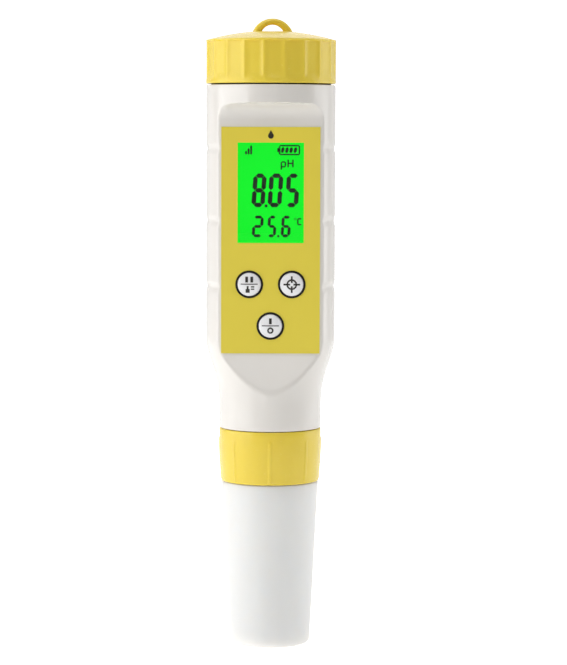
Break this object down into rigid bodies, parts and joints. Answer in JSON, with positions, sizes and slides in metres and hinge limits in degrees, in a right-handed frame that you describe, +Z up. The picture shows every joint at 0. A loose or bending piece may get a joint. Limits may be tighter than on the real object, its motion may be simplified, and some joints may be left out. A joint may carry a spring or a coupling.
{
  "type": "digital ph meter",
  "caption": "Upright pen-shaped pH meter: white handle with green display and keys, yellow screw cap and collar, and a milky storage cap over its glass probe.",
  "frame": {"origin": "centre of the protective cap's base, on the surface that the meter stands on", "axes": "+Z up along the meter's axis, display facing -Y, +X to the right of a person facing the display"},
  "size_m": [0.0386, 0.0386, 0.187],
  "materials": {
    "white_abs": "glossy moulded ABS",
    "yellow_abs": "glossy moulded ABS",
    "label_film": "satin printed film",
    "clear_acrylic": "clear hard-coated acrylic",
    "display_ink": "dark liquid crystal figures",
    "display_glass": "backlit green display glass",
    "light_guide": "white light guide",
    "grey_elastomer": "layered elastomer",
    "black_silicone": "moulded silicone rubber",
    "key_white": "glossy domed key caps",
    "black_abs": "moulded ABS",
    "zinc_steel": "zinc-plated steel",
    "circuit_board": "solder-masked glass epoxy",
    "chip_epoxy": "moulded chip epoxy",
    "shield_can": "tinned shield",
    "cell_nickel": "nickel-plated button cells",
    "spring_brass": "pressed spring brass",
    "probe_plastic": "moulded dark grey plastic",
    "electrode_glass": "thin blown glass",
    "silver_metal": "silver wire with a grey chloride tip",
    "porous_ceramic": "porous ceramic",
    "stainless_steel": "ground stainless steel",
    "gold_plate": "gold-plated pins",
    "milky_polypropylene": "milky translucent polypropylene",
    "sponge_foam": "open-cell sponge"
  },
  "bodies": {
    "handle": {"body_shell": "white_abs", "front_label": "label_film", "lcd_lens": "clear_acrylic", "lcd_segments": "display_ink", "lcd_cell": "display_glass", "lcd_backlight": "light_guide", "zebra_strips": "grey_elastomer", "keypad_membrane": "black_silicone", "chassis": "black_abs", "chassis_screws": "zinc_steel", "main_pcb": "circuit_board", "circuit_chips": "chip_epoxy", "tact_switches": "zinc_steel", "radio_module": "shield_can", "probe_socket": "black_abs", "battery_housing": "white_abs", "battery_cells": "cell_nickel", "battery_contacts": "spring_brass", "cap_oring": "black_silicone"},
    "hold_key": {"button_hold": "key_white"},
    "cal_key": {"button_cal": "key_white"},
    "power_key": {"button_power": "key_white"},
    "bridge": {"contact_bridge": "spring_brass"},
    "top_cap": {"battery_cap": "yellow_abs", "lanyard_loop": "yellow_abs", "retaining_ring": "black_abs"},
    "probe": {"probe_housing": "probe_plastic", "probe_guard": "probe_plastic", "glass_bulb": "electrode_glass", "silver_wire": "silver_metal", "reference_junction": "porous_ceramic", "temperature_pin": "stainless_steel", "probe_pins": "gold_plate", "plug_oring": "black_silicone", "seal_ring": "black_silicone"},
    "screw_collar": {"collar": "yellow_abs"},
    "cover": {"protective_cap": "milky_polypropylene", "storage_sponge": "sponge_foam"}
  },
  "joints": [
    {"name": "battery_cap_rise", "type": "slide", "parent": "handle", "child": "bridge", "axis": [0, 0, 1], "range_m": [0, 0.009]},
    {"name": "battery_cap_turn", "type": "hinge", "parent": "bridge", "child": "top_cap", "pos_m": [0, 0, 0.175], "axis": [0, 0, 1], "range_deg": [0, 1080]},
    {"name": "probe_drop", "type": "slide", "parent": "handle", "child": "probe", "axis": [0, 0, -1], "range_m": [0, 0.0105]},
    {"name": "collar_turn", "type": "hinge", "parent": "probe", "child": "screw_collar", "pos_m": [0, 0, 0.057], "axis": [0, 0, -1], "range_deg": [0, 1260]},
    {"name": "protective_cap_pull", "type": "slide", "parent": "probe", "child": "cover", "axis": [0, 0, -1], "range_m": [0, 0.055]},
    {"name": "hold_key_press", "type": "slide", "parent": "handle", "child": "hold_key", "axis": [0, 1, 0], "range_m": [0, 0.0006], "stiffness_N_per_m": 2000},
    {"name": "cal_key_press", "type": "slide", "parent": "handle", "child": "cal_key", "axis": [0, 1, 0], "range_m": [0, 0.0006], "stiffness_N_per_m": 2000},
    {"name": "power_key_press", "type": "slide", "parent": "handle", "child": "power_key", "axis": [0, 1, 0], "range_m": [0, 0.0006], "stiffness_N_per_m": 2000}
  ],
  "couplings": [
    {"joint": "battery_cap_rise", "follows": "battery_cap_turn", "m_per_rad": 0.00047746},
    {"joint": "probe_drop", "follows": "collar_turn", "m_per_rad": 0.00047746}
  ]
}
